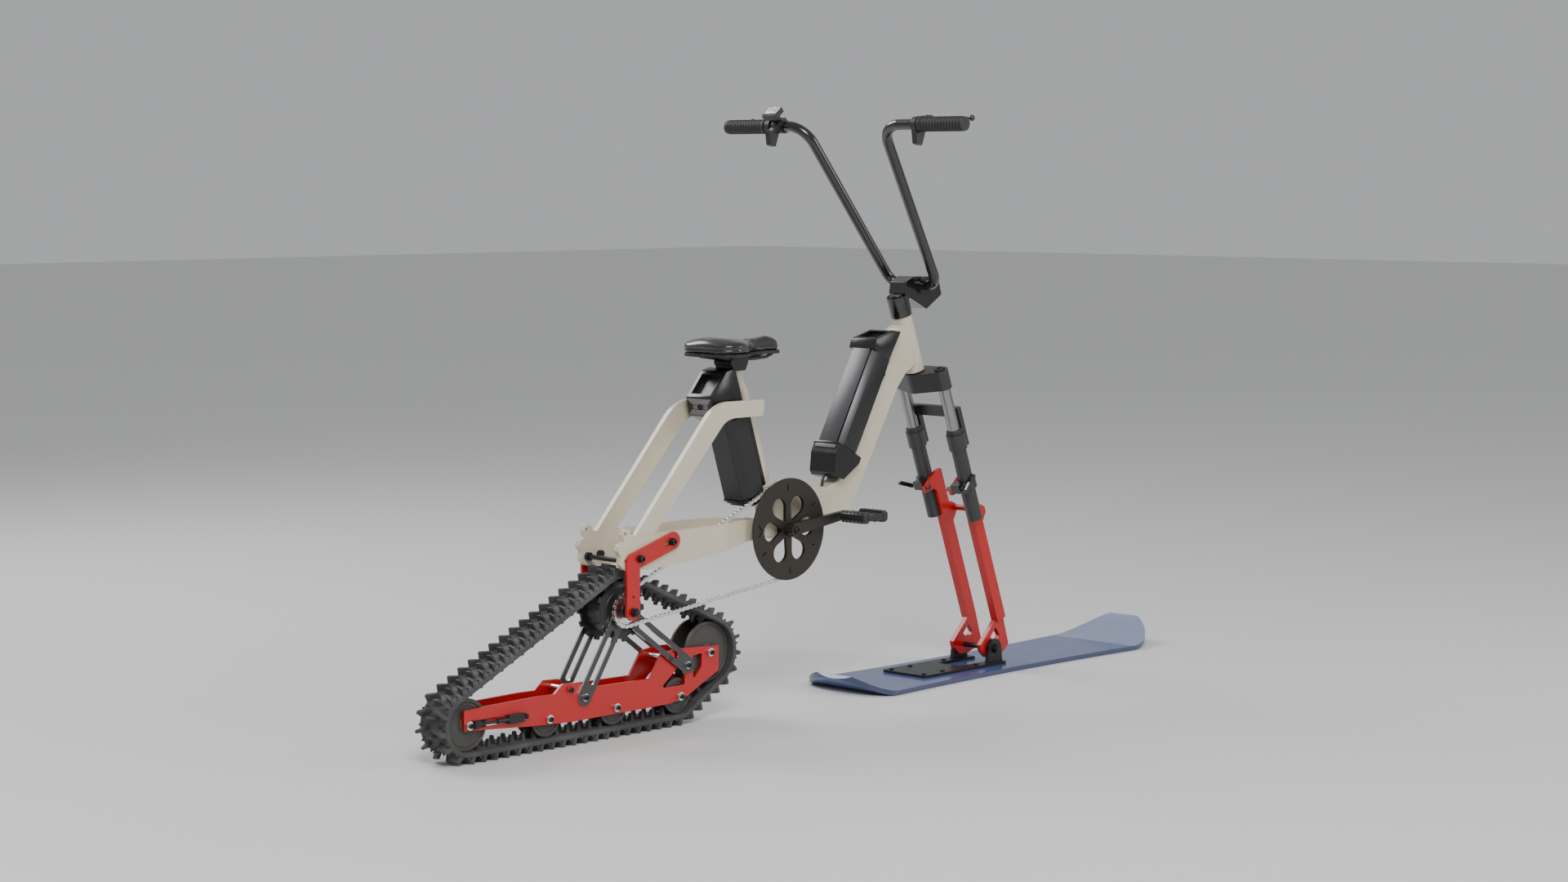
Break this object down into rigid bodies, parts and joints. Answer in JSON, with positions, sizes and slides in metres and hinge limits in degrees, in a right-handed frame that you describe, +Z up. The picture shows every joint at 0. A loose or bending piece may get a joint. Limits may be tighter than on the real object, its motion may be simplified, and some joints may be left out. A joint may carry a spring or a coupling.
{
  "type": "ski bike",
  "caption": "Tracked electric ski bike: a step-through frame with a driven rear track unit, suspension fork, twin legs, a ski board and tall handlebar.",
  "frame": {"origin": "on the ground plane, below the pivot that joins the ski to the fork legs", "axes": "+X forward to the ski's nose, +Y to the rider's left, +Z up"},
  "size_m": [2.2643, 0.714, 1.319],
  "materials": {
    "frame_paint": "satin",
    "red_paint": "gloss",
    "black_paint": "gloss",
    "fork_paint": "satin",
    "stanchion_metal": "satin",
    "dark_steel": "satin",
    "bright_steel": "polished",
    "strut_metal": "satin",
    "ring_metal": "satin",
    "chain_metal": "polished",
    "motor_metal": "satin",
    "track_rubber": "matte",
    "wheel_plastic": "matte",
    "grip_rubber": "matte",
    "saddle_leather": "gloss",
    "black_plastic": "satin",
    "battery_shell": "satin",
    "battery_plastic": "gloss",
    "cell_wrap": "matte",
    "board_blue": "satin",
    "screen_white": "gloss"
  },
  "bodies": {
    "frame": {"head_tube": "frame_paint", "down_tube": "frame_paint", "bottom_bracket_shell": "frame_paint", "seat_tube": "frame_paint", "seat_mast": "frame_paint", "seat_stays": "frame_paint", "chain_stays": "frame_paint", "frame_bearings": "bright_steel", "axle_brackets": "red_paint", "bracket_bolts": "dark_steel", "drive_axle": "dark_steel", "motor_stator": "dark_steel", "chain": "chain_metal", "saddle_rails": "dark_steel", "saddle_clamp": "dark_steel", "saddle_base": "black_plastic", "saddle_cushion": "saddle_leather", "front_battery_case": "battery_shell", "rear_battery_case": "battery_shell", "battery_caps": "battery_plastic", "battery_holders": "battery_plastic", "battery_cells": "cell_wrap", "battery_cable": "black_plastic"},
    "steering": {"fork_crown": "fork_paint", "stanchions": "stanchion_metal", "stem": "black_paint", "handlebar": "black_paint", "grips": "grip_rubber", "lever_perches": "black_plastic", "display_unit": "black_plastic"},
    "right_lever": {"brake_lever_right": "fork_paint"},
    "left_lever": {"brake_lever_left": "fork_paint"},
    "throttle": {"throttle_lever": "black_plastic"},
    "button": {"display_button": "screen_white"},
    "lower_fork": {"fork_lowers": "fork_paint", "fork_rods": "bright_steel", "ski_legs": "red_paint", "leg_clamps": "black_paint"},
    "ski": {"ski_mount": "dark_steel", "ski_board": "board_blue", "ski_fasteners": "dark_steel"},
    "crank": {"crank_arms": "ring_metal", "crank_spindle": "dark_steel", "chainring": "ring_metal", "chain_guard": "ring_metal"},
    "right_pedal": {"pedal_right": "black_plastic"},
    "left_pedal": {"pedal_left": "black_plastic"},
    "track_frame": {"side_plates": "red_paint", "struts": "strut_metal", "track_belt": "track_rubber", "track_axles": "bright_steel", "wheel_bearings": "bright_steel", "belt_tensioners": "dark_steel"},
    "drum": {"drive_drum": "motor_metal", "chain_sprocket": "chain_metal"},
    "rear_idler_body": {"rear_idler": "wheel_plastic"},
    "front_idler_body": {"front_idler": "wheel_plastic"},
    "rear_bogie": {"bogie_wheel_rear": "wheel_plastic"},
    "middle_bogie": {"bogie_wheel_middle": "wheel_plastic"},
    "front_bogie": {"bogie_wheel_front": "wheel_plastic"}
  },
  "joints": [
    {"name": "steering_turn", "type": "hinge", "parent": "frame", "child": "steering", "pos_m": [0.035, 0, 0], "axis": [-0.342, 0, 0.9397], "range_deg": [-55, 55]},
    {"name": "fork_travel", "type": "slide", "parent": "steering", "child": "lower_fork", "axis": [-0.342, 0, 0.9397], "range_m": [0, 0.04], "stiffness_N_per_m": 12000, "springref_m": -0.025},
    {"name": "ski_pivot", "type": "hinge", "parent": "lower_fork", "child": "ski", "pos_m": [0, 0, 0.05], "axis": [0, 1, 0], "range_deg": [-25, 25]},
    {"name": "right_brake", "type": "hinge", "parent": "steering", "child": "right_lever", "pos_m": [-0.439, -0.221, 1.287], "axis": [0, 0, -1], "range_deg": [0, 15], "stiffness_Nm_per_rad": 0.8, "springref_deg": -14.32},
    {"name": "left_brake", "type": "hinge", "parent": "steering", "child": "left_lever", "pos_m": [-0.439, 0.221, 1.287], "axis": [0, 0, 1], "range_deg": [0, 15], "stiffness_Nm_per_rad": 0.8, "springref_deg": -14.32},
    {"name": "throttle_turn", "type": "hinge", "parent": "steering", "child": "throttle", "pos_m": [-0.473, 0.182, 1.274], "axis": [0, -1, 0], "range_deg": [0, 45], "stiffness_Nm_per_rad": 0.15, "springref_deg": -22.92},
    {"name": "button_press", "type": "slide", "parent": "steering", "child": "button", "axis": [0.6157, 0, -0.788], "range_m": [0, 0.0015], "stiffness_N_per_m": 400, "springref_m": -0.002},
    {"name": "crank_spin", "type": "hinge", "parent": "frame", "child": "crank", "pos_m": [-0.702, 0, 0.394], "axis": [0, 1, 0], "continuous": true},
    {"name": "right_pedal_spin", "type": "hinge", "parent": "crank", "child": "right_pedal", "pos_m": [-0.53419, -0.12, 0.41401], "axis": [0, 1, 0], "continuous": true},
    {"name": "left_pedal_spin", "type": "hinge", "parent": "crank", "child": "left_pedal", "pos_m": [-0.86981, 0.12, 0.37399], "axis": [0, 1, 0], "continuous": true},
    {"name": "track_swing", "type": "hinge", "parent": "frame", "child": "track_frame", "pos_m": [-1.185, 0, 0.264], "axis": [0, 1, 0], "range_deg": [-12, 12]},
    {"name": "drum_spin", "type": "hinge", "parent": "frame", "child": "drum", "pos_m": [-1.185, 0, 0.264], "axis": [0, 1, 0], "continuous": true},
    {"name": "rear_idler_spin", "type": "hinge", "parent": "track_frame", "child": "rear_idler_body", "pos_m": [-1.6, 0, 0.078], "axis": [0, 1, 0], "continuous": true},
    {"name": "front_idler_spin", "type": "hinge", "parent": "track_frame", "child": "front_idler_body", "pos_m": [-0.927, 0, 0.147], "axis": [0, 1, 0], "continuous": true},
    {"name": "rear_bogie_spin", "type": "hinge", "parent": "track_frame", "child": "rear_bogie", "pos_m": [-1.388, 0, 0.063], "axis": [0, 1, 0], "continuous": true},
    {"name": "middle_bogie_spin", "type": "hinge", "parent": "track_frame", "child": "middle_bogie", "pos_m": [-1.202, 0, 0.063], "axis": [0, 1, 0], "continuous": true},
    {"name": "front_bogie_spin", "type": "hinge", "parent": "track_frame", "child": "front_bogie", "pos_m": [-1.017, 0, 0.063], "axis": [0, 1, 0], "continuous": true}
  ],
  "couplings": [
    {"joint": "drum_spin", "follows": "crank_spin", "ratio": 3.25},
    {"joint": "rear_idler_spin", "follows": "crank_spin", "ratio": 4.0926},
    {"joint": "front_idler_spin", "follows": "crank_spin", "ratio": 3.3485},
    {"joint": "rear_bogie_spin", "follows": "crank_spin", "ratio": 5.6667},
    {"joint": "middle_bogie_spin", "follows": "crank_spin", "ratio": 5.6667},
    {"joint": "front_bogie_spin", "follows": "crank_spin", "ratio": 5.6667}
  ]
}
